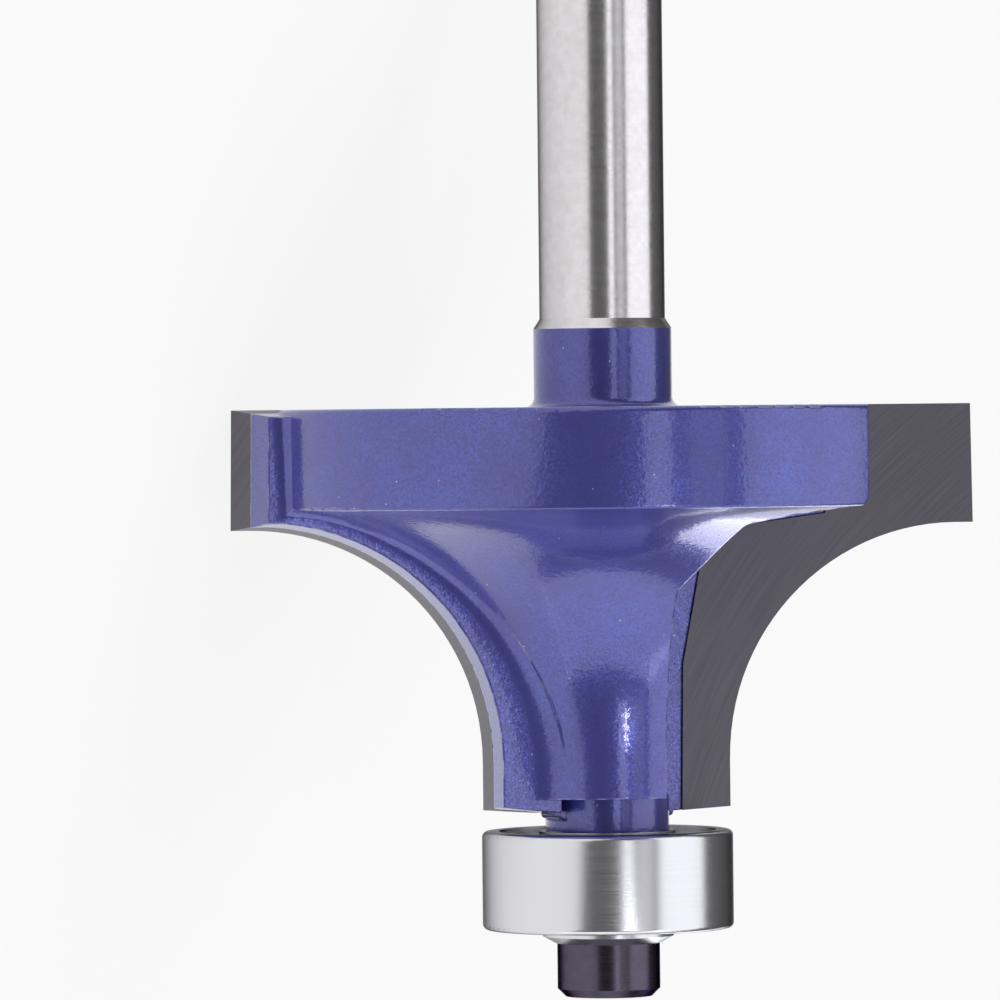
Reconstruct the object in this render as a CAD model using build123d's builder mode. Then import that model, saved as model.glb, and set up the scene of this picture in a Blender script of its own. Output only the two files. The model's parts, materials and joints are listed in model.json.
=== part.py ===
from build123d import *
from math import acos, asin, cos, degrees, hypot, radians, sin, sqrt, tan
import os

os.makedirs("parts", exist_ok=True)

# Sizes in millimetres and degrees. The bit is drawn upright about the Z axis, shank upwards, with
# Z = 0 on the flat top of the disc. The right-hand rake face lies in the XZ plane and looks to -Y.

# Shank, and the collar at its root
shank_diameter = 6.35
shank_length = 32.0
shank_end_chamfer = 0.5
collar_diameter = 7.0
collar_height = 3.95
collar_shoulder_height = 0.5
collar_root_fillet = 0.5

# Disc that carries the wings
disc_diameter = 34.0
disc_top_rounding = 0.3
disc_underside_rounding = 0.15

# Cutting outline: rim edge, small flat, quarter round, tail edge down beside the pilot
round_over_radius = 11.75
cut_flat = 0.95
rim_edge_height = 6.05
rim_edge_taper = 0.8
tail_edge_height = 2.2

# Relief behind the cutting edges
rim_relief = 20.0
round_relief = 6.5
top_relief = 5.0
tail_relief = 4.0

# Turned cove, core and neck, and the spigot that the bearing sits on
cove_setback = 1.1
core_shoulder_drop = 1.6
neck_shoulder = 0.754
neck_gap = 1.4
neck_fillet = 0.3
spigot_fit = 0.015
spigot_setback = 0.2
spigot_chamfer = 0.2

# Wings: carbide tip, steel land behind it, and the step down to the turned surface
tip_thickness = 2.0
tip_proud = 0.2
land_thickness = 1.8
wing_root_overlap = 0.135
wing_bottom_drop = 0.28
heel_fillet = 0.6
heel_sink = 0.03

# Gullet in front of each tip. Its wall and mouth are distances from the axis, and its other points
# are outwards from the wall and below the top of the cove.
gullet_wall = 2.2
gullet_mouth = 10.97
gullet_wall_top = (0, 4.25)
gullet_knee = (1.2, 2.85)
gullet_shoulder = (2.7, 0.95)
gullet_roof = (5.3, 0.45)
gullet_corner_rounding = 0.6
cutter_overshoot = 1.0

# Inner edge of the carbide tip, from its foot up to the gullet's mouth, in the same way
tip_foot = 1.66
tip_waist = (1.78, 8.15)
tip_shoulder = (2.7, 3.25)
tip_bend = (4.7, 1.15)
tip_roof_gap = 0.55
tip_mouth_gap = 0.43

# Pilot bearing, its balls midway between bore and rim
bearing_bore = 4.7625
bearing_diameter = 12.7
bearing_width = 4.978
ring_corner = 0.3
bore_corner = 0.2
ball_share_of_width = 0.4783045
ball_count = 7
ball_clearance = 0.02
groove_openness = 1.04
race_land = 0.915

# Shields, and the snap rings that hold them
shield_thickness = 0.2
shield_depth = 0.74
shield_seat_step = 0.22
shield_fit = 0.03
shield_running_gap = 0.15
snap_ring_thickness = 0.25
snap_ring_width = 0.42
snap_groove_depth = 0.18
snap_ring_mouth = 3.0

# Ribbon cage and its rivets
cage_thickness = 0.2
cage_pocket_clearance = 0.05
cage_running_gap = 0.28
rivet_diameter = 0.36
rivet_fit = 0.01
rivet_head_diameter = 0.6
rivet_head_height = 0.12

# Washer and socket screw under the bearing
screw_diameter = 3.175
screw_length = 9.5
screw_end_chamfer = 0.3
screw_head_diameter = 5.2
screw_head_height = 2.7
screw_head_chamfer = 0.4
socket_across_flats = 2.38
socket_depth = 1.4
thread_fit = 0.015
hole_spare_depth = 1.0
washer_edge_gap = 0.125
washer_fit = 0.11
washer_rim = 0.35
washer_thickness = 0.7
washer_foot_margin = 0.1

# Radii
shank_radius = shank_diameter / 2
collar_radius = collar_diameter / 2
disc_radius = disc_diameter / 2
bore_radius = bearing_bore / 2
pilot_radius = bearing_diameter / 2
neck_radius = bore_radius + neck_shoulder
spigot_radius = bore_radius - spigot_fit
ball_radius = ball_share_of_width * bearing_width / 2
pitch_radius = (bore_radius + pilot_radius) / 2
inner_land = pitch_radius - race_land
outer_land = pitch_radius + race_land
shield_seat = outer_land + shield_seat_step
screw_radius = screw_diameter / 2
washer_radius = inner_land - washer_edge_gap

# Heights
shank_base = collar_height + collar_shoulder_height
shank_top = shank_base + shank_length
round_centre = (pilot_radius + round_over_radius, -rim_edge_height - round_over_radius)
edge_radius = round_centre[0] + cut_flat
cove_radius = round_over_radius + cove_setback
cove_top = cove_setback - rim_edge_height
core_radius = round_centre[0] - cove_radius
core_shoulder = round_centre[1] - core_shoulder_drop
tail_bottom = round_centre[1] - tail_edge_height
bearing_top = tail_bottom - neck_gap
bearing_middle = bearing_top - bearing_width / 2
bearing_bottom = bearing_top - bearing_width
spigot_bottom = bearing_bottom + spigot_setback
washer_bottom = bearing_bottom - washer_thickness
screw_bottom = washer_bottom - screw_head_height
screw_top = washer_bottom + screw_length

wing_depth = tip_thickness + land_thickness
wing_root = neck_radius - wing_root_overlap
rim_angle = degrees(acos((round_centre[0] - disc_radius) / cove_radius))
bearing_section = Plane((0, 0, bearing_middle), x_dir=(1, 0, 0), z_dir=(0, -1, 0))
two_wings = PolarLocations(0, 2)


# A point of the gullet or of a tip's inner edge, as X and height
def below_cove(point):
    return (gullet_wall + point[0], cove_top - point[1])


# Cross-section of the wing at a depth behind the rake face, shrunk by the reliefs
def wing_section(depth):
    fall_back = depth * tan(radians(rim_relief))
    radius = round_over_radius + depth * tan(radians(round_relief))
    top = -depth * tan(radians(top_relief))
    bottom = tail_bottom + depth * tan(radians(tail_relief))
    rim = edge_radius - fall_back
    rim_top = rim - rim_edge_height * tan(radians(rim_edge_taper))
    start_angle = 90 + degrees(asin(fall_back / radius))
    with BuildSketch(Plane.XZ.offset(-depth)) as section:
        with BuildLine():
            quarter = CenterArc(round_centre, radius, start_angle, 180 - start_angle)
            rim_foot = (rim, (quarter @ 0).Y)
            tail = Line(quarter @ 1, ((quarter @ 1).X, bottom))
            Polyline(
                tail @ 1,
                (wing_root, bottom - wing_bottom_drop),
                (wing_root, top),
                (rim_top, top),
                rim_foot,
                quarter @ 0,
            )
        make_face()
    return section.sketch


# Outline of the space that is milled away in front of a tip
with BuildPart() as gullet:
    with BuildSketch(Plane.XZ.offset(-tip_proud)) as outline:
        with BuildLine():
            Polyline(
                (gullet_wall, core_shoulder),
                below_cove(gullet_wall_top),
                below_cove(gullet_knee),
                below_cove(gullet_shoulder),
                below_cove(gullet_roof),
                (gullet_mouth, cove_top),
                (gullet_mouth, cutter_overshoot),
                (edge_radius + cutter_overshoot, cutter_overshoot),
                (edge_radius + cutter_overshoot, core_shoulder),
                close=True,
            )
        make_face()
        inner_corners = outline.vertices().filter_by(
            lambda v: v.X < gullet_mouth + 0.01 and core_shoulder + 0.1 < v.Y < 0
        )
        fillet(inner_corners, gullet_corner_rounding)
    extrude(amount=disc_radius + tip_proud)

# A point of the turned surface in the plane at a depth, raised by a height; the angle is 0 on the core
def turned_point(angle, depth, height):
    radius = round_centre[0] - (cove_radius - height) * cos(radians(angle))
    level = round_centre[1] + (cove_radius - height) * sin(radians(angle))
    return (sqrt(radius**2 - depth**2), level)


# Cross-section of the wing's heel, which runs out on the turned surface in a hollow curve
def heel_section(turn):
    depth = wing_depth + heel_fillet * (1 - cos(radians(turn)))
    height = heel_fillet * (1 - sin(radians(turn))) - heel_sink
    top = -depth * tan(radians(top_relief))
    rim_turn = degrees(acos((round_centre[0] - disc_radius - height) / (cove_radius - height)))
    with BuildSketch(Plane.XZ.offset(-depth)) as section:
        with BuildLine():
            cove_foot = turned_point(0, depth, height)
            cove_rim = turned_point(rim_turn, depth, height)
            ThreePointArc(cove_foot, turned_point(rim_turn / 2, depth, height), cove_rim)
            Polyline(
                cove_rim,
                (cove_rim[0], top),
                (0, top),
                (0, core_shoulder),
                (cove_foot[0], core_shoulder),
                cove_foot,
            )
        make_face()
    return section.sketch


# Blank of a tip, which is also the seat that the tip is brazed into
with BuildPart() as tip_blank:
    with BuildSketch(Plane.XZ.offset(-tip_thickness)):
        with BuildLine():
            Polyline(
                (gullet_wall + tip_foot, tail_bottom - cutter_overshoot),
                below_cove(tip_waist),
                below_cove(tip_shoulder),
                below_cove(tip_bend),
                (gullet_mouth + tip_mouth_gap, cove_top - tip_roof_gap),
                (gullet_mouth + tip_mouth_gap, cutter_overshoot),
                (edge_radius + cutter_overshoot, cutter_overshoot),
                (edge_radius + cutter_overshoot, tail_bottom - cutter_overshoot),
                close=True,
            )
        make_face()
    extrude(amount=tip_thickness + cutter_overshoot)

# Steel wing behind the tip
with BuildPart() as wing:
    loft([wing_section(tip_proud), wing_section(wing_depth)], ruled=True)
    loft([heel_section(turn) for turn in (0, 30, 60, 90)], ruled=True)

# Hollow curve between the neck and the foot of each wing
with BuildPart() as neck_root:
    with BuildSketch(Plane.XZ):
        with BuildLine():
            foot = tail_bottom - wing_bottom_drop
            curve = RadiusArc(
                (neck_radius + neck_fillet, foot), (neck_radius, foot - neck_fillet), neck_fillet
            )
            Polyline(
                curve @ 1,
                (bore_radius, foot - neck_fillet),
                (bore_radius, foot + wing_bottom_drop),
                (neck_radius + neck_fillet, foot + wing_bottom_drop),
                curve @ 0,
            )
        make_face()
    revolve(axis=Axis.Z)
    with BuildSketch(Plane.XY.offset(core_shoulder)):
        with Locations((0, tip_proud)):
            Rectangle(pilot_radius, land_thickness, align=(Align.MIN, Align.MIN))
    extrude(amount=bearing_top - core_shoulder, mode=Mode.INTERSECT)

# One-piece steel body: turned shank, disc, cove and spigot, then wings, gullets and tip seats
with BuildPart() as cutter_body:
    with BuildSketch(Plane.XZ) as turned:
        with BuildLine():
            cove = CenterArc(round_centre, cove_radius, 180 - rim_angle, rim_angle)
            Polyline(
                cove @ 1,
                (core_radius, core_shoulder),
                (neck_radius, core_shoulder),
                (neck_radius, bearing_top),
                (spigot_radius, bearing_top),
                (spigot_radius, spigot_bottom + spigot_chamfer),
                (spigot_radius - spigot_chamfer, spigot_bottom),
                (0, spigot_bottom),
                (0, shank_top),
                (shank_radius - shank_end_chamfer, shank_top),
                (shank_radius, shank_top - shank_end_chamfer),
                (shank_radius, shank_base),
                (collar_radius, collar_height),
                (collar_radius, 0),
                (disc_radius, 0),
                cove @ 0,
            )
        make_face()
        for corner, rounding in (
            ((collar_radius, 0, 0), collar_root_fillet),
            ((disc_radius, 0, 0), disc_top_rounding),
            ((disc_radius, (cove @ 0).Y, 0), disc_underside_rounding),
        ):
            fillet(turned.vertices().sort_by_distance(corner)[0], rounding)
    revolve(axis=Axis.Z)
    with two_wings:
        add(wing.part)
        add(neck_root.part)
    with two_wings:
        add(gullet.part, mode=Mode.SUBTRACT)
    with two_wings:
        add(tip_blank.part, mode=Mode.SUBTRACT)
    with Locations(Location((0, 0, spigot_bottom), (180, 0, 0))):
        Hole(screw_radius + thread_fit, depth=screw_top - spigot_bottom + hole_spare_depth)

# Carbide tips, ground to the same reliefs as the wings behind them
tips = []
for turn in (0, 180):
    with BuildPart() as tip:
        loft([wing_section(0), wing_section(tip_thickness)], ruled=True)
        add(tip_blank.part, mode=Mode.INTERSECT)
    tip.part.move(Rotation(0, 0, turn))
    tips.append(tip)


# Rings of the bearing, turned about the axis
with BuildPart() as inner_ring:
    with BuildSketch(bearing_section) as ring:
        with Locations(((inner_land + bore_radius) / 2, 0)):
            Rectangle(inner_land - bore_radius, bearing_width)
        chamfer(ring.vertices().group_by(Axis.X)[0], bore_corner)
        groove_radius = ball_radius * groove_openness
        with Locations((pitch_radius - ball_radius - ball_clearance + groove_radius, 0)):
            Circle(groove_radius, mode=Mode.SUBTRACT)
    revolve(axis=Axis.Z)

snap_groove = shield_depth - shield_thickness - snap_ring_thickness
with BuildPart() as outer_ring:
    with BuildSketch(bearing_section) as ring:
        with Locations(((pilot_radius + outer_land) / 2, 0)):
            Rectangle(pilot_radius - outer_land, bearing_width)
        fillet(ring.vertices().group_by(Axis.X)[-1], ring_corner)
        with Locations((pitch_radius + ball_radius + ball_clearance - groove_radius, 0)):
            Circle(groove_radius, mode=Mode.SUBTRACT)
        for side in (-1, 1):
            seat_middle = side * (bearing_width / 2 - shield_depth / 2)
            with Locations((shield_seat, seat_middle)):
                Rectangle(
                    2 * shield_seat_step,
                    shield_depth,
                    align=(Align.MAX, Align.CENTER),
                    mode=Mode.SUBTRACT,
                )
            groove_middle = side * (bearing_width / 2 - snap_groove - snap_ring_thickness / 2)
            with Locations((shield_seat, groove_middle)):
                Rectangle(
                    snap_groove_depth,
                    snap_ring_thickness,
                    align=(Align.MIN, Align.CENTER),
                    mode=Mode.SUBTRACT,
                )
    revolve(axis=Axis.Z)

# Balls, evenly spaced on the pitch circle
ball_places = PolarLocations(pitch_radius, ball_count).locations
balls = []
for place in ball_places:
    with BuildPart() as ball:
        with Locations(Location((place.position.X, place.position.Y, bearing_middle))):
            Sphere(ball_radius)
    balls.append(ball)

# Pressed ribbon cage: two halves with a round pocket for each ball, riveted between the pockets
cage_inner = inner_land + cage_running_gap
cage_outer = outer_land - cage_running_gap
pocket_radius = ball_radius + cage_pocket_clearance
cage_halves = []
for side in (1, -1):
    with BuildPart() as cage_half:
        with Locations((0, 0, bearing_middle)):
            with PolarLocations(pitch_radius, ball_count):
                Sphere(pocket_radius + cage_thickness)
        with BuildSketch(Plane.XY.offset(bearing_middle)):
            Circle(cage_outer)
        extrude(amount=side * cage_thickness)
        with BuildSketch(Plane.XY.offset(bearing_middle)):
            Circle(cage_outer)
            Circle(cage_inner, mode=Mode.SUBTRACT)
        extrude(amount=side * (pocket_radius + cage_thickness), mode=Mode.INTERSECT)
        with Locations((0, 0, bearing_middle)):
            with PolarLocations(pitch_radius, ball_count):
                Sphere(pocket_radius, mode=Mode.SUBTRACT)
            with PolarLocations(pitch_radius, ball_count, start_angle=180 / ball_count):
                Cylinder(
                    rivet_diameter / 2 + rivet_fit,
                    4 * cage_thickness,
                    mode=Mode.SUBTRACT,
                )
    cage_halves.append(cage_half)

with BuildPart() as cage_rivets:
    with Locations((0, 0, bearing_middle)):
        with PolarLocations(pitch_radius, ball_count, start_angle=180 / ball_count):
            Cylinder(rivet_diameter / 2, 2 * cage_thickness)
    for side in (1, -1):
        with BuildSketch(Plane.XY.offset(bearing_middle + side * cage_thickness)):
            with PolarLocations(pitch_radius, ball_count, start_angle=180 / ball_count):
                Circle(rivet_head_diameter / 2)
        extrude(amount=side * rivet_head_height)

# Shields against their seats, each held by a split snap ring
shields = []
snap_rings = []
for side in (1, -1):
    seat = bearing_middle + side * (bearing_width / 2 - shield_depth)
    with BuildPart() as shield:
        with BuildSketch(Plane.XY.offset(seat)):
            Circle(shield_seat - shield_fit)
            Circle(inner_land + shield_running_gap, mode=Mode.SUBTRACT)
        extrude(amount=side * shield_thickness)
    shields.append(shield)
    snap_outer = shield_seat + snap_groove_depth - shield_fit
    with BuildPart() as snap_ring:
        with BuildSketch(Plane.XY.offset(seat + side * shield_thickness)):
            Circle(snap_outer)
            Circle(snap_outer - snap_ring_width, mode=Mode.SUBTRACT)
            with Locations((snap_outer, 0)):
                Rectangle(4 * snap_ring_width, snap_ring_mouth, mode=Mode.SUBTRACT)
        extrude(amount=side * snap_ring_thickness)
    snap_rings.append(snap_ring)

# Washer that clamps the bearing's inner ring, coned underneath
with BuildPart() as washer:
    with BuildSketch(Plane.XZ):
        with BuildLine():
            Polyline(
                (screw_radius + washer_fit, bearing_bottom),
                (washer_radius, bearing_bottom),
                (washer_radius, bearing_bottom - washer_rim),
                (screw_head_diameter / 2 + washer_foot_margin, washer_bottom),
                (screw_radius + washer_fit, washer_bottom),
                close=True,
            )
        make_face()
    revolve(axis=Axis.Z)

# Socket cap screw, head downwards, its stem up in the spigot's tapped hole
with BuildPart() as screw:
    with BuildSketch(Plane.XZ) as stem:
        with BuildLine():
            Polyline(
                (0, screw_bottom),
                (screw_head_diameter / 2 - screw_head_chamfer, screw_bottom),
                (screw_head_diameter / 2, screw_bottom + screw_head_chamfer),
                (screw_head_diameter / 2, washer_bottom),
                (screw_radius, washer_bottom),
                (screw_radius, screw_top - screw_end_chamfer),
                (screw_radius - screw_end_chamfer, screw_top),
                (0, screw_top),
                close=True,
            )
        make_face()
    revolve(axis=Axis.Z)
    with BuildSketch(Plane.XY.offset(screw_bottom)):
        RegularPolygon(socket_across_flats / 2, 6, major_radius=False)
    extrude(amount=socket_depth, mode=Mode.SUBTRACT)

# The bit lies on a bench as it would come to rest: on the outer corner of one tip, on the disc's
# corner across that tip's gullet, and on the rim of the shank's end
tip_corner = (-(edge_radius - rim_edge_height * tan(radians(rim_edge_taper))), 0)
disc_corner = (-gullet_mouth, sqrt(disc_radius**2 - gullet_mouth**2))
chord = hypot(disc_corner[0] - tip_corner[0], disc_corner[1] - tip_corner[1])
out_x = (tip_corner[1] - disc_corner[1]) / chord
out_y = (disc_corner[0] - tip_corner[0]) / chord
reach = out_x * tip_corner[0] + out_y * tip_corner[1]
shank_rim_height = shank_top - shank_end_chamfer
slope = (reach - shank_radius) / shank_rim_height
tilt_cos = 1 / sqrt(1 + slope**2)
tilt_sin = slope * tilt_cos
bench = Plane(
    (0, 0, 0),
    x_dir=(tilt_sin * out_x, tilt_sin * out_y, -tilt_cos),
    z_dir=(-tilt_cos * out_x, -tilt_cos * out_y, -tilt_sin),
)

pieces = {
    "cutter_body": cutter_body,
    "carbide_tip_1": tips[0],
    "carbide_tip_2": tips[1],
    "bearing_inner_ring": inner_ring,
    "bearing_outer_ring": outer_ring,
    "cage_upper": cage_halves[0],
    "cage_lower": cage_halves[1],
    "cage_rivets": cage_rivets,
    "shield_upper": shields[0],
    "shield_lower": shields[1],
    "snap_ring_upper": snap_rings[0],
    "snap_ring_lower": snap_rings[1],
    "pilot_washer": washer,
    "pilot_screw": screw,
}
for number, ball in enumerate(balls, 1):
    pieces[f"bearing_ball_{number}"] = ball

for piece in pieces.values():
    piece.part.move(bench.location.inverse())
extent = Compound([piece.part for piece in pieces.values()]).bounding_box()
for name, piece in pieces.items():
    piece.part.move(Location((-extent.center().X, -extent.center().Y, -extent.min.Z)))
    piece.part.label = name
    export_step(piece.part, f"parts/{name}.step")
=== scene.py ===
import json
import math

import bmesh
import bpy
from mathutils import Matrix, Vector


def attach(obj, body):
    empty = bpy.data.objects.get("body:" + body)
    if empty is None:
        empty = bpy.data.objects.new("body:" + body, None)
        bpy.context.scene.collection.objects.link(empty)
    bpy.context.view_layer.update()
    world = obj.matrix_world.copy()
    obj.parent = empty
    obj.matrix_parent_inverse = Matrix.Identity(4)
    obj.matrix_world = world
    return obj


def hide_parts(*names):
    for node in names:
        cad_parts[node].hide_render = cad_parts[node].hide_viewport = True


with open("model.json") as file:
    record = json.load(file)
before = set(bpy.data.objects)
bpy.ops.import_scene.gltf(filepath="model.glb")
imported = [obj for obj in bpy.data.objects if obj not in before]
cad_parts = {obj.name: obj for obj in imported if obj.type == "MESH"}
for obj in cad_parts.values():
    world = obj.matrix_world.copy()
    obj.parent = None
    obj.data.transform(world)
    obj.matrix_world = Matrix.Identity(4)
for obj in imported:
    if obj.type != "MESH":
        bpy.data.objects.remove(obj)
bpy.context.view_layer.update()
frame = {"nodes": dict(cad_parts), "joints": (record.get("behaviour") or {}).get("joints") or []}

nodes = frame["nodes"]
mm = 0.001    # lengths below are in millimetres, unless a note says metres

# How the bit lies: its axis from the bearing's joint, its right-hand side from the first ball
bearingDepth = 23.889    # from the disc's top to the middle of the bearing
joints = {joint["name"]: joint for joint in frame["joints"]}
spin, firstBall = joints["bearing_spin"], joints["ball_1_spin"]
shankwards = -Vector(spin["axis"]).normalized()
across = Vector(firstBall["pos_m"]) - Vector(spin["pos_m"])
across = (across - across.dot(shankwards) * shankwards).normalized()
behind = shankwards.cross(across)
discTop = Vector(spin["pos_m"]) + shankwards * bearingDepth * mm
bitToRow = Matrix((across, behind, shankwards)).transposed()
rowToBit = bitToRow.transposed()


def place(x, y, z):
    # where a point of the upright bit is as the bit lies now
    return discTop + bitToRow @ Vector((x, y, z)) * mm


def heightOn(point):
    # how far a point is above the disc's top, along the bit
    return (rowToBit @ (point - discTop)).z / mm


def tone(hexColour):
    # sRGB to linear
    parts = [int(hexColour[k:k + 2], 16) / 255 for k in (1, 3, 5)]
    linear = [c / 12.92 if c <= 0.04045 else ((c + 0.055) / 1.055) ** 2.4 for c in parts]
    return (*linear, 1.0)


def addNode(tree, kind, inputs=None, **settings):
    node = tree.nodes.new(kind)
    for name, value in settings.items():
        setattr(node, name, value)
    for socket, value in (inputs or {}).items():
        if isinstance(value, bpy.types.NodeSocket):
            tree.links.new(value, node.inputs[socket])
        else:
            node.inputs[socket].default_value = value
    return node


def newMaterial(name):
    material = bpy.data.materials.new(name)
    material.use_nodes = True
    material.node_tree.nodes.clear()
    return material, material.node_tree


def newObject(name, data):
    thing = bpy.data.objects.new(name, data)
    bpy.context.scene.collection.objects.link(thing)
    return thing


def bitPoint(tree):
    # Object coordinates turned to the upright bit, in millimetres from its disc top
    spot = addNode(tree, "ShaderNodeTexCoord").outputs["Object"]
    return addNode(tree, "ShaderNodeMapping", {
        "Vector": spot,
        "Scale": (1 / mm, 1 / mm, 1 / mm),
        "Rotation": rowToBit.to_euler("XYZ"),
        "Location": -(rowToBit @ discTop) / mm,
    }, vector_type="POINT").outputs[0]


def aim(thing, spot, target, top):
    # sets a camera or lamp at a spot, facing a target
    away = (spot - target).normalized()
    side = top.cross(away).normalized()
    facing = Matrix((side, away.cross(side), away)).transposed().to_4x4()
    thing.matrix_world = Matrix.Translation(spot) @ facing


# Camera: a long lens that sees the bit upright, whichever way it lies
shot = {
    "lens": 306.2,
    "distance": 430.0,    # from the bit's axis
    "turn": 10.0,         # degrees round from straight in front of the right rake face
    "roll": 0.6,          # degrees
    "eyeHeight": -0.5,    # above the disc's top
    "aimHeight": -4.66,
    "aimLeft": 5.26,      # from the bit's axis
    "clipStart": 0.01,    # metres
}
turn, roll = math.radians(shot["turn"]), math.radians(shot["roll"])
toCamera = bitToRow @ Vector((-math.sin(turn), -math.cos(turn), 0))
toRight = bitToRow @ Vector((math.cos(turn), -math.sin(turn), 0))
cameraData = bpy.data.cameras.new("camera")
cameraData.lens = shot["lens"]
cameraData.clip_start = shot["clipStart"]
camera = newObject("camera", cameraData)
bpy.context.scene.camera = camera
eye = place(0, 0, shot["eyeHeight"]) + toCamera * shot["distance"] * mm
target = place(0, 0, shot["aimHeight"]) - toRight * shot["aimLeft"] * mm
aim(camera, eye, target, shankwards * math.cos(roll) + toRight * math.sin(roll))
print("camera set")

# Lamps: degrees round from the camera to the right and up from level, metres away, width and
# length in metres, brightness
lamps = {
    "overheadLamp": (73, 0, 0.5, 0.48, 1.1, 1.0),
    "middleLamp": (35, 0, 0.6, 0.14, 0.7, 0.5),
    "stripLamp": (18, -3, 0.6, 0.1, 0.6, 1.15),
    "glintLamp": (22, -18, 0.6, 0.025, 0.16, 16.0),
    "footLamp": (0, -72, 0.5, 0.9, 0.5, 0.9),
    "rimLamp": (160, -38, 0.5, 0.22, 0.3, 2.6),
}
lampColour = (0.98, 0.99, 1.03)    # a little cooler than plain white
lampTarget = place(0, 0, -10)      # the middle of the cove
worldLevel = 0.1


def addLamp(name, azimuth, elevation, distance, width, length, brightness):
    data = bpy.data.lights.new(name, "AREA")
    data.shape = "RECTANGLE"
    data.size = width
    data.size_y = length
    data.energy = brightness * math.pi * width * length
    data.color = lampColour
    lamp = newObject(name, data)
    lamp.visible_camera = False
    sideways, up = math.radians(azimuth), math.radians(elevation)
    level = toRight * math.sin(sideways) + toCamera * math.cos(sideways)
    outwards = level * math.cos(up) + shankwards * math.sin(up)
    aim(lamp, lampTarget + outwards * distance, lampTarget, shankwards)


for name, setting in lamps.items():
    addLamp(name, *setting)

world = bpy.data.worlds.new("studio")
bpy.context.scene.world = world
world.use_nodes = True
world.node_tree.nodes.clear()
glow = addNode(world.node_tree, "ShaderNodeBackground", {
    "Color": (1, 1, 1, 1), "Strength": worldLevel})
addNode(world.node_tree, "ShaderNodeOutputWorld", {"Surface": glow.outputs[0]})

# Floor: mostly plain white to the camera and in reflections, the rest is its own shading
floorSetting = {
    "colour": "#F6F6F6",
    "whiteToCamera": 0.86,
    "whiteInGloss": 0.55,
    "radius": 4.0,    # metres
    "sides": 64,
}
floorMaterial, tree = newMaterial("paleFloor")
path = addNode(tree, "ShaderNodeLightPath").outputs
inGloss = addNode(tree, "ShaderNodeMath", {
    0: path["Is Glossy Ray"], 1: path["Is Transmission Ray"]}, operation="MAXIMUM")
inGloss = addNode(tree, "ShaderNodeMath", {
    0: inGloss.outputs[0], 1: floorSetting["whiteInGloss"]}, operation="MULTIPLY")
lift = addNode(tree, "ShaderNodeMath", {
    0: path["Is Camera Ray"], 1: floorSetting["whiteToCamera"], 2: inGloss.outputs[0],
}, operation="MULTIPLY_ADD")
matt = addNode(tree, "ShaderNodeBsdfDiffuse", {"Color": tone(floorSetting["colour"])})
white = addNode(tree, "ShaderNodeEmission", {"Color": (1, 1, 1, 1), "Strength": 1.0})
blend = addNode(tree, "ShaderNodeMixShader", {
    0: lift.outputs[0], 1: matt.outputs[0], 2: white.outputs[0]})
addNode(tree, "ShaderNodeOutputMaterial", {"Surface": blend.outputs[0]})

floorMesh = bpy.data.meshes.new("floor")
shape = bmesh.new()
bmesh.ops.create_circle(
    shape, cap_ends=True, segments=floorSetting["sides"], radius=floorSetting["radius"])
shape.to_mesh(floorMesh)
shape.free()
floorMesh.materials.append(floorMaterial)
floor = newObject("floor", floorMesh)
print("floor and light set")

# In a Mix node of colours, sockets 6 and 7 are the two colours and output 2 is the mixed one

# Metallic indigo lacquer, sprayed over blasted steel: violet ground, blue aluminium flake that
# sparkles as a fine grain, and a clear coat with slight orange peel, rounded at every edge
paint = {
    "ground": "#4C1278",
    "flake": "#6887EA",
    "flakeSize": 0.065,           # a few times the real flake, so that the grain shows
    "flakeTilt": 0.09,            # how far each flake's normal leans
    "flakeShare": (0.26, 0.58),   # from the barest to the fullest spots
    "flakeRange": (0.2, 0.7),     # of flake tone and cloud together
    "cloudScale": 0.35,           # per mm, slow change over the spray
    "cloudBase": 0.2,
    "speck": "#D8D8F0",
    "speckSpacing": 1.3,
    "speckReach": 0.03,           # of the spacing
    "edgeRadius": 0.16,
    "edgeSamples": 8,
    # painted highlight: a pale colour laid in patches along the rounded edges, standing in for
    # their shine
    "edgeHighlight": "#C9C6E6",
    "edgeBend": (0.985, 0.93),    # cosine of the bend where the painted highlight starts and is full
    "highlightPatch": 0.9,             # length of the stretches where an edge gets the painted highlight
    "highlightRange": (0.48, 0.6),
    "highlightMost": 0.8,
    "peelSize": 0.28,
    "peelDepth": 0.03,
    "peelStrength": 0.3,
    "roughness": 0.27,
}
paintMaterial, tree = newMaterial("indigoLacquer")
point = bitPoint(tree)
flake = addNode(tree, "ShaderNodeTexVoronoi", {
    "Vector": point, "Scale": 1 / paint["flakeSize"]}).outputs["Color"]
flakeTone = addNode(tree, "ShaderNodeSeparateColor", {0: flake})
cloud = addNode(tree, "ShaderNodeTexNoise", {
    "Vector": point, "Scale": paint["cloudScale"], "Detail": 3.0})
share = addNode(tree, "ShaderNodeMath", {
    0: flakeTone.outputs[0], 1: cloud.outputs[0], 2: paint["cloudBase"]},
    operation="MULTIPLY_ADD")
share = addNode(tree, "ShaderNodeMapRange", {
    "Value": share.outputs[0],
    "From Min": paint["flakeRange"][0], "From Max": paint["flakeRange"][1],
    "To Min": paint["flakeShare"][0], "To Max": paint["flakeShare"][1]})
colour = addNode(tree, "ShaderNodeMix", {
    0: share.outputs[0], 6: tone(paint["ground"]), 7: tone(paint["flake"])}, data_type="RGBA")
speck = addNode(tree, "ShaderNodeTexVoronoi", {
    "Vector": point, "Scale": 1 / paint["speckSpacing"]}).outputs["Distance"]
dot = addNode(tree, "ShaderNodeMath", {0: speck, 1: paint["speckReach"]}, operation="LESS_THAN")
colour = addNode(tree, "ShaderNodeMix", {
    0: dot.outputs[0], 6: colour.outputs[2], 7: tone(paint["speck"])}, data_type="RGBA")
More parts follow.
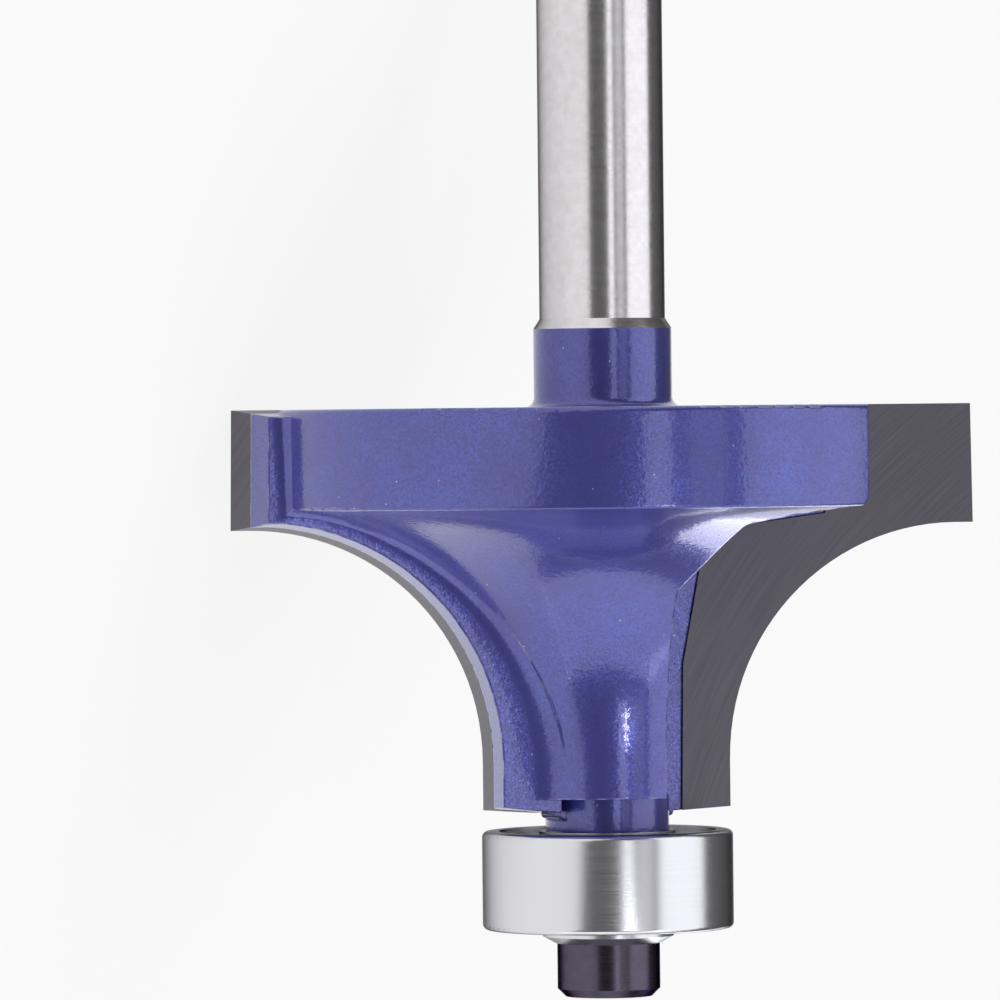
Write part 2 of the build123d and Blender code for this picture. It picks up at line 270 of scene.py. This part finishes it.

# Edges: the rounded normal against the plain one finds them, and patches break up the painted
# highlight laid along them
rounded = addNode(tree, "ShaderNodeBevel", {
    "Radius": paint["edgeRadius"] * mm}, samples=paint["edgeSamples"]).outputs[0]
plain = addNode(tree, "ShaderNodeNewGeometry").outputs["Normal"]
bend = addNode(tree, "ShaderNodeVectorMath", {0: rounded, 1: plain}, operation="DOT_PRODUCT")
onEdge = addNode(tree, "ShaderNodeMapRange", {
    "Value": bend.outputs["Value"],
    "From Min": paint["edgeBend"][0], "From Max": paint["edgeBend"][1]})
highlightPatches = addNode(tree, "ShaderNodeTexNoise", {
    "Vector": point, "Scale": 1 / paint["highlightPatch"], "Detail": 4.0})
highlightPatches = addNode(tree, "ShaderNodeMapRange", {
    "Value": highlightPatches.outputs[0],
    "From Min": paint["highlightRange"][0], "From Max": paint["highlightRange"][1],
    "To Max": paint["highlightMost"]})
edgeHighlightMask = addNode(tree, "ShaderNodeMath", {
    0: onEdge.outputs[0], 1: highlightPatches.outputs[0]}, operation="MULTIPLY")
# painted highlight: the pale edge colour is mixed in along the edges, where their shine would be
colour = addNode(tree, "ShaderNodeMix", {
    0: edgeHighlightMask.outputs[0], 6: colour.outputs[2], 7: tone(paint["edgeHighlight"])}, data_type="RGBA")

peel = addNode(tree, "ShaderNodeTexNoise", {
    "Vector": point, "Scale": 1 / paint["peelSize"], "Detail": 2.0})
peelBump = addNode(tree, "ShaderNodeBump", {
    "Strength": paint["peelStrength"], "Distance": paint["peelDepth"] * mm,
    "Height": peel.outputs[0], "Normal": rounded}).outputs[0]
lean = addNode(tree, "ShaderNodeVectorMath", {0: flake, 1: (0.5, 0.5, 0.5)}, operation="SUBTRACT")
lean = addNode(tree, "ShaderNodeVectorMath", {
    0: lean.outputs[0], 1: (paint["flakeTilt"],) * 3, 2: peelBump}, operation="MULTIPLY_ADD")
flakeNormal = addNode(tree, "ShaderNodeVectorMath", {0: lean.outputs[0]}, operation="NORMALIZE")
lacquer = addNode(tree, "ShaderNodeBsdfPrincipled", {
    "Base Color": colour.outputs[2],
    "Metallic": share.outputs[0],
    "Roughness": paint["roughness"],
    "Normal": flakeNormal.outputs[0],
    "Coat Weight": 0.9,
    "Coat IOR": 1.6,
    "Coat Roughness": 0.08,
    "Coat Normal": peelBump,
})
addNode(tree, "ShaderNodeOutputMaterial", {"Surface": lacquer.outputs[0]})

# Steels whose last tool went round the bit's axis. The lines are coarser than the real ones, so
# that they show. A low edgeTint keeps the rims from turning white.
steels = {
    # drill rod, ground: bright, fine rings, pale brown stains
    "groundShankSteel": {
        "colour": "#F2F0F2", "stain": "#E6DFDD", "roughness": 0.2,
        "lineSize": 0.08, "lineDepth": 0.003, "edgeTint": 0.12},
    # bearing steel, lapped: cool and close to a mirror
    "lappedBearingSteel": {
        "colour": "#EDECF0", "stain": "#EDECF0", "roughness": 0.22,
        "lineSize": 0.05, "lineDepth": 0.002, "edgeTint": 0.12},
    # sheet steel, pressed and tumbled: satin, a little warm
    "satinShieldSteel": {
        "colour": "#CFC6C0", "stain": "#CFC6C0", "roughness": 0.3,
        "lineSize": 0.05, "lineDepth": 0.001, "edgeTint": 0.3},
    # free-cutting steel, turned: bright with soft rings
    "turnedWasherSteel": {
        "colour": "#F2F2F4", "stain": "#F2F2F4", "roughness": 0.25,
        "lineSize": 0.05, "lineDepth": 0.002, "edgeTint": 0.3},
    # strip steel, pressed into ribbons: dull grey
    "pressedCageSteel": {
        "colour": "#B5B0AA", "stain": "#B5B0AA", "roughness": 0.3,
        "lineSize": 0.1, "lineDepth": 0.001, "edgeTint": 0.3},
    # alloy steel, black oxide under oil: dark violet-grey with a soft shine
    "blackOxideSteel": {
        "colour": "#625C6C", "stain": "#5A5464", "roughness": 0.24,
        "lineSize": 0.06, "lineDepth": 0.002, "edgeTint": 0.1},
}
turning = {
    "changes": 1.5,               # how fast a line alters on its way round, per radian
    "lineRange": (0.25, 0.75),
    "roughSpread": (0.8, 1.25),   # of the steel's roughness
    "stainScale": 1.6,            # per mm
    "stainRange": (0.35, 0.75),
    "gritScale": 6.0,             # per mm
    "gritHeight": 2.5,            # against the lines
    "bumpStrength": 0.3,
}


def turnedSteel(name):
    steel = steels[name]
    material, tree = newMaterial(name)
    point = bitPoint(tree)
    x, y, z = addNode(tree, "ShaderNodeSeparateXYZ", {0: point}).outputs
    radius = addNode(tree, "ShaderNodeMath", {0: x, 1: x}, operation="MULTIPLY")
    radius = addNode(tree, "ShaderNodeMath", {
        0: y, 1: y, 2: radius.outputs[0]}, operation="MULTIPLY_ADD")
    radius = addNode(tree, "ShaderNodeMath", {0: radius.outputs[0]}, operation="SQRT")
    angle = addNode(tree, "ShaderNodeMath", {0: y, 1: x}, operation="ARCTAN2")
    turned = addNode(tree, "ShaderNodeCombineXYZ", {
        0: angle.outputs[0], 1: z, 2: radius.outputs[0]})
    turned = addNode(tree, "ShaderNodeVectorMath", {
        0: turned.outputs[0],
        1: (turning["changes"], 1 / steel["lineSize"], 1 / steel["lineSize"])},
        operation="MULTIPLY")
    lines = addNode(tree, "ShaderNodeTexNoise", {
        "Vector": turned.outputs[0], "Scale": 1.0, "Detail": 3.0}).outputs[0]
    stains = addNode(tree, "ShaderNodeTexNoise", {
        "Vector": point, "Scale": turning["stainScale"], "Detail": 6.0, "Roughness": 0.65})
    stains = addNode(tree, "ShaderNodeMapRange", {
        "Value": stains.outputs[0],
        "From Min": turning["stainRange"][0], "From Max": turning["stainRange"][1]})
    colour = addNode(tree, "ShaderNodeMix", {
        0: stains.outputs[0], 6: tone(steel["colour"]), 7: tone(steel["stain"])}, data_type="RGBA")
    rough = addNode(tree, "ShaderNodeMapRange", {
        "Value": lines,
        "From Min": turning["lineRange"][0], "From Max": turning["lineRange"][1],
        "To Min": steel["roughness"] * turning["roughSpread"][0],
        "To Max": steel["roughness"] * turning["roughSpread"][1]})
    grit = addNode(tree, "ShaderNodeTexNoise", {
        "Vector": point, "Scale": turning["gritScale"], "Detail": 3.0})
    grain = addNode(tree, "ShaderNodeMath", {
        0: grit.outputs[0], 1: turning["gritHeight"], 2: lines}, operation="MULTIPLY_ADD")
    bump = addNode(tree, "ShaderNodeBump", {
        "Strength": turning["bumpStrength"], "Distance": steel["lineDepth"] * mm,
        "Height": grain.outputs[0]})
    metal = addNode(tree, "ShaderNodeBsdfPrincipled", {
        "Base Color": colour.outputs[2],
        "Metallic": 1.0,
        "Specular Tint": (*(steel["edgeTint"],) * 3, 1.0),
        "Roughness": rough.outputs[0],
        "Normal": bump.outputs[0],
    })
    addNode(tree, "ShaderNodeOutputMaterial", {"Surface": metal.outputs[0]})
    return material


shankSteel = turnedSteel("groundShankSteel")
bearingSteel = turnedSteel("lappedBearingSteel")
shieldSteel = turnedSteel("satinShieldSteel")
washerSteel = turnedSteel("turnedWasherSteel")
cageSteel = turnedSteel("pressedCageSteel")
screwBlack = turnedSteel("blackOxideSteel")

# Cemented carbide, face-ground on a cup wheel: dark grey with fine curved lines across it
carbide = {
    "dark": "#625F66",
    "light": "#6E6B72",
    "wheelCentre": (42.0, 0.0, -32.0),   # the middle of the arcs that the wheel left
    "inWheelPlane": (1, 0, 1),           # the arcs don't change through the tip's thickness
    "lineSpacing": 0.065,                # coarser than the real lines, so that they show
    "changes": 14.0,                     # how fast a line alters on its way round, per radian
    "lineScale": 0.6,
    "lineRange": (0.3, 0.7),
    "lineDepth": 0.003,
    "bumpStrength": 0.25,
    "metallic": 0.9,
    "roughness": 0.36,
}
carbideMaterial, tree = newMaterial("groundCarbide")
point = bitPoint(tree)
arm = addNode(tree, "ShaderNodeVectorMath", {
    0: point, 1: carbide["wheelCentre"]}, operation="SUBTRACT")
arm = addNode(tree, "ShaderNodeVectorMath", {
    0: arm.outputs[0], 1: carbide["inWheelPlane"]}, operation="MULTIPLY")
reach = addNode(tree, "ShaderNodeVectorMath", {0: arm.outputs[0]}, operation="LENGTH")
split = addNode(tree, "ShaderNodeSeparateXYZ", {0: arm.outputs[0]}).outputs
swing = addNode(tree, "ShaderNodeMath", {0: split[2], 1: split[0]}, operation="ARCTAN2")
arcs = addNode(tree, "ShaderNodeCombineXYZ", {0: reach.outputs["Value"], 1: swing.outputs[0]})
arcs = addNode(tree, "ShaderNodeVectorMath", {
    0: arcs.outputs[0], 1: (1 / carbide["lineSpacing"], carbide["changes"], 1.0)},
    operation="MULTIPLY")
lines = addNode(tree, "ShaderNodeTexNoise", {
    "Vector": arcs.outputs[0], "Scale": carbide["lineScale"], "Detail": 4.0}).outputs[0]
shade = addNode(tree, "ShaderNodeMapRange", {
    "Value": lines, "From Min": carbide["lineRange"][0], "From Max": carbide["lineRange"][1]})
colour = addNode(tree, "ShaderNodeMix", {
    0: shade.outputs[0], 6: tone(carbide["dark"]), 7: tone(carbide["light"])}, data_type="RGBA")
bump = addNode(tree, "ShaderNodeBump", {
    "Strength": carbide["bumpStrength"], "Distance": carbide["lineDepth"] * mm, "Height": lines})
carbideFace = addNode(tree, "ShaderNodeBsdfPrincipled", {
    "Base Color": colour.outputs[2],
    "Metallic": carbide["metallic"],
    "Roughness": carbide["roughness"],
    "Normal": bump.outputs[0],
})
addNode(tree, "ShaderNodeOutputMaterial", {"Surface": carbideFace.outputs[0]})
print("finishes made")

# Tails of the wings and tips: they reach a little nearer to the bearing than the solids' do.
# Heights are from the disc's top.
tails = {"from": -14.0, "foot": -20.0, "neckEnd": -21.4, "drop": 0.3}
tailNodes = ("cutter_body", "carbide_tip_1", "carbide_tip_2")
mergeWithin = 0.0004
sharpAngles = {"bitBody": 28, "balls": 60, "others": 25}   # degrees


def tailDrop(height):
    grows = min(max((tails["from"] - height) / (tails["from"] - tails["foot"]), 0), 1)
    fades = min(max((height - tails["neckEnd"]) / (tails["foot"] - tails["neckEnd"]), 0), 1)
    return tails["drop"] * grows ** 2 * fades


def mergedCopy(node, name, sharpAngle):
    # a CAD node's mesh with its triangles joined, smooth but for the sharp edges
    mesh = nodes[node].data.copy()
    mesh.name = name
    shape = bmesh.new()
    shape.from_mesh(mesh)
    bmesh.ops.remove_doubles(shape, verts=shape.verts, dist=mergeWithin * mm)
    if node in tailNodes:
        for vert in shape.verts:
            vert.co -= shankwards * tailDrop(heightOn(vert.co)) * mm
    shape.to_mesh(mesh)
    shape.free()
    if "custom_normal" in mesh.attributes:
        mesh.attributes.remove(mesh.attributes["custom_normal"])
    mesh.shade_smooth()
    mesh.set_sharp_from_angle(angle=math.radians(sharpAngle))
    mesh.materials.clear()
    return newObject(name, mesh)


def carryOver(node, name, body, materials, sharpAngle=sharpAngles["others"]):
    piece = mergedCopy(node, name, sharpAngle)
    for material in materials:
        piece.data.materials.append(material)
    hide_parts(node)
    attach(piece, body)
    return piece


bareAbove = 3.93    # height where the paint stops and the ground steel starts
bitBody = carryOver("cutter_body", "bitBody", "cutter",
                    [paintMaterial, shankSteel], sharpAngles["bitBody"])
for face in bitBody.data.polygons:
    if heightOn(face.center) > bareAbove:
        face.material_index = 1

for number in (1, 2):
    carryOver(f"carbide_tip_{number}", f"carbideTip{number}", "cutter",
              [carbideMaterial])

carryOver("bearing_inner_ring", "innerRing", "cutter", [bearingSteel])
carryOver("bearing_outer_ring", "outerRing", "outer_ring", [bearingSteel])
for side in ("upper", "lower"):
    carryOver(f"shield_{side}", f"{side}Shield", "outer_ring", [shieldSteel])
    carryOver(f"snap_ring_{side}", f"{side}SnapRing", "outer_ring", [washerSteel])
    carryOver(f"cage_{side}", f"{side}Cage", "cage", [cageSteel])

# Rivets of the cage: a domed head at each end, evenly round the pitch circle
rivets = {
    "Count": 7,
    "Circle Radius": 4.366,
    "Shaft Radius": 0.18,
    "Head Radius": 0.3,
    "Head Height": 0.12,
    "Crown": 1.03,    # over 1, so that a head ends in a small flat
    "Grip": 0.4,      # between the heads
    "Sides": 20,
    "Rings": 41,
}
ringGap = 0.001       # puts the rings at the grip's ends on the heads
rivetTree = bpy.data.node_groups.new("rivetsOnCircle", "GeometryNodeTree")
for name, value in rivets.items():
    socketType = "NodeSocketInt" if isinstance(value, int) else "NodeSocketFloat"
    rivetTree.interface.new_socket(name=name, in_out="INPUT", socket_type=socketType)
rivetTree.interface.new_socket(
    name="Geometry", in_out="OUTPUT", socket_type="NodeSocketGeometry")
given = addNode(rivetTree, "NodeGroupInput").outputs

# The rivet's middle line, from one head's top to the other's
halfGrip = addNode(rivetTree, "ShaderNodeMath", {
    0: given["Grip"], 1: 0.5}, operation="MULTIPLY").outputs[0]
top = addNode(rivetTree, "ShaderNodeMath", {
    0: halfGrip, 1: given["Head Height"]}, operation="ADD").outputs[0]
bottom = addNode(rivetTree, "ShaderNodeMath", {0: top, 1: -1.0}, operation="MULTIPLY").outputs[0]
start = addNode(rivetTree, "ShaderNodeCombineXYZ", {2: bottom}).outputs[0]
end = addNode(rivetTree, "ShaderNodeCombineXYZ", {2: top}).outputs[0]
spine = addNode(rivetTree, "GeometryNodeCurvePrimitiveLine", {
    "Start": start, "End": end}).outputs[0]
spine = addNode(rivetTree, "GeometryNodeResampleCurve", {
    "Curve": spine, "Count": given["Rings"]}).outputs[0]

# Its radius along that line: the shaft's within the grip, a dome beyond it
position = addNode(rivetTree, "GeometryNodeInputPosition").outputs[0]
height = addNode(rivetTree, "ShaderNodeSeparateXYZ", {0: position}).outputs[2]
height = addNode(rivetTree, "ShaderNodeMath", {0: height}, operation="ABSOLUTE").outputs[0]
above = addNode(rivetTree, "ShaderNodeMath", {
    0: height, 1: halfGrip}, operation="SUBTRACT").outputs[0]
climb = addNode(rivetTree, "ShaderNodeMath", {
    0: above, 1: given["Head Height"]}, operation="DIVIDE").outputs[0]
climb = addNode(rivetTree, "ShaderNodeMath", {0: climb, 1: climb}, operation="MULTIPLY").outputs[0]
dome = addNode(rivetTree, "ShaderNodeMath", {
    0: given["Crown"], 1: climb}, operation="SUBTRACT").outputs[0]
dome = addNode(rivetTree, "ShaderNodeMath", {0: dome}, operation="SQRT").outputs[0]
dome = addNode(rivetTree, "ShaderNodeMath", {
    0: dome, 1: given["Head Radius"]}, operation="MULTIPLY").outputs[0]
dome = addNode(rivetTree, "ShaderNodeMath", {
    0: dome, 1: given["Head Radius"]}, operation="MINIMUM").outputs[0]
inGrip = addNode(rivetTree, "ShaderNodeMath", {
    0: above, 1: -ringGap}, operation="LESS_THAN").outputs[0]
girth = addNode(rivetTree, "ShaderNodeMix", {
    0: inGrip, 2: dome, 3: given["Shaft Radius"]}, data_type="FLOAT").outputs[0]
outline = addNode(rivetTree, "GeometryNodeCurvePrimitiveCircle", {
    "Resolution": given["Sides"], "Radius": 1.0}).outputs[0]
rivet = addNode(rivetTree, "GeometryNodeCurveToMesh", {
    "Curve": spine, "Profile Curve": outline, "Scale": girth, "Fill Caps": True}).outputs[0]

circle = addNode(rivetTree, "GeometryNodeMeshCircle", {
    "Vertices": given["Count"], "Radius": given["Circle Radius"]}).outputs[0]
placed = addNode(rivetTree, "GeometryNodeInstanceOnPoints", {
    "Points": circle, "Instance": rivet}).outputs[0]
placed = addNode(rivetTree, "GeometryNodeRealizeInstances", {"Geometry": placed}).outputs[0]
placed = addNode(rivetTree, "GeometryNodeSetMaterial", {
    "Geometry": placed, "Material": cageSteel}).outputs[0]
addNode(rivetTree, "NodeGroupOutput", {"Geometry": placed})


def grownPiece(name, tree, sizes, turned, height):
    # a node tree's result as a plain mesh, set on the bit's axis
    seed = newObject(name, bpy.data.meshes.new(name))
    modifier = seed.modifiers.new("nodes", "NODES")
    modifier.node_group = tree
    for item in tree.interface.items_tree:
        if item.in_out == "INPUT":
            modifier[item.identifier] = sizes[item.name]
    result = seed.evaluated_get(bpy.context.evaluated_depsgraph_get())
    grown = bpy.data.meshes.new_from_object(result)
    seed.modifiers.remove(modifier)
    grown.transform(Matrix.Rotation(math.radians(turned), 4, "Z"))
    onBit = Matrix.Translation(place(0, 0, height)) @ bitToRow.to_4x4()
    grown.transform(onBit @ Matrix.Scale(mm, 4))
    seed.data = grown
    return seed


# The rivets stand halfway between the balls
cageRivets = grownPiece("cageRivets", rivetTree, rivets, 180 / rivets["Count"], -bearingDepth)
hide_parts("cage_rivets")
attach(cageRivets, "cage")

for number in range(1, rivets["Count"] + 1):
    carryOver(f"bearing_ball_{number}", f"ball{number}", f"ball_{number}",
              [bearingSteel], sharpAngles["balls"])
carryOver("pilot_washer", "pilotWasher", "cutter", [washerSteel])
carryOver("pilot_screw", "pilotScrew", "cutter", [screwBlack])
print("pieces made")

bpy.context.scene.view_settings.view_transform = "Standard"
bpy.context.view_layer.update()
